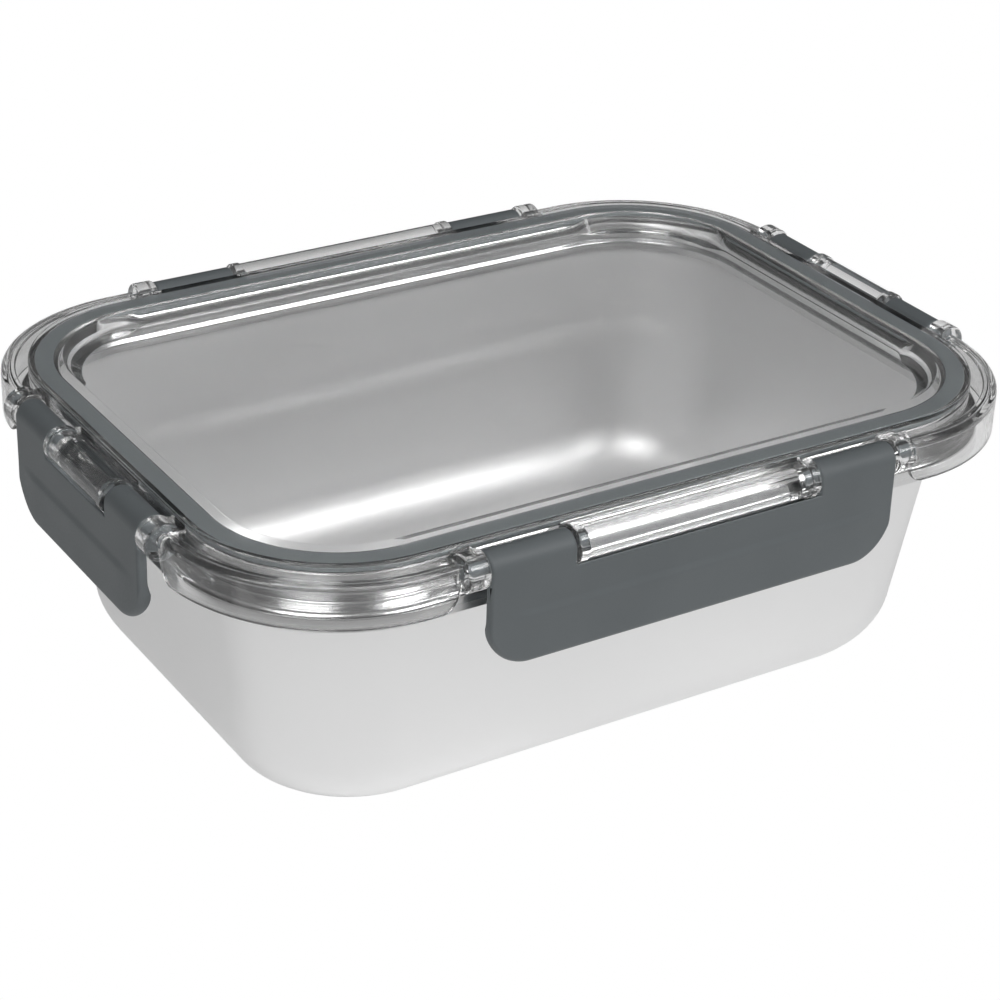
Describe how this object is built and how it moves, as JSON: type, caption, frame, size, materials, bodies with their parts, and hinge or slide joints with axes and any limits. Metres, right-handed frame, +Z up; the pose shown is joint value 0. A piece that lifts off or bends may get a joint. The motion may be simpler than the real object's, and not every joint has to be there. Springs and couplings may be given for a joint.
{
  "type": "lunch box",
  "caption": "Rectangular stainless steel lunch box with a clear clip-on lid, a soft seal and a hinged latch on every side.",
  "frame": {"origin": "middle of the flat base, at the surface it rests on", "axes": "+Z up, X along the long side, -Y towards the front long side"},
  "size_m": [0.2158, 0.1618, 0.0735],
  "materials": {
    "steel": "satin, finely brushed",
    "clear_plastic": "clear polished plastic",
    "latch_plastic": "fine matt grain",
    "seal_silicone": "soft matt"
  },
  "bodies": {
    "container": {"container": "steel"},
    "lid": {"lid": "clear_plastic", "seal": "seal_silicone"},
    "latch_front": {"latch_front": "latch_plastic"},
    "latch_back": {"latch_back": "latch_plastic"},
    "latch_left": {"latch_left": "latch_plastic"},
    "latch_right": {"latch_right": "latch_plastic"}
  },
  "joints": [
    {"name": "lid_lift", "type": "slide", "parent": "container", "child": "lid", "axis": [0, 0, 1], "range_m": [0, 0.08]},
    {"name": "latch_front_hinge", "type": "hinge", "parent": "lid", "child": "latch_front", "pos_m": [0, -0.0766, 0.0692], "axis": [-1, 0, 0], "range_deg": [-3, 120]},
    {"name": "latch_back_hinge", "type": "hinge", "parent": "lid", "child": "latch_back", "pos_m": [0, 0.0766, 0.0692], "axis": [1, 0, 0], "range_deg": [-3, 120]},
    {"name": "latch_right_hinge", "type": "hinge", "parent": "lid", "child": "latch_right", "pos_m": [0.1036, 0, 0.0692], "axis": [0, -1, 0], "range_deg": [-3, 120]},
    {"name": "latch_left_hinge", "type": "hinge", "parent": "lid", "child": "latch_left", "pos_m": [-0.1036, 0, 0.0692], "axis": [0, 1, 0], "range_deg": [-3, 120]}
  ]
}
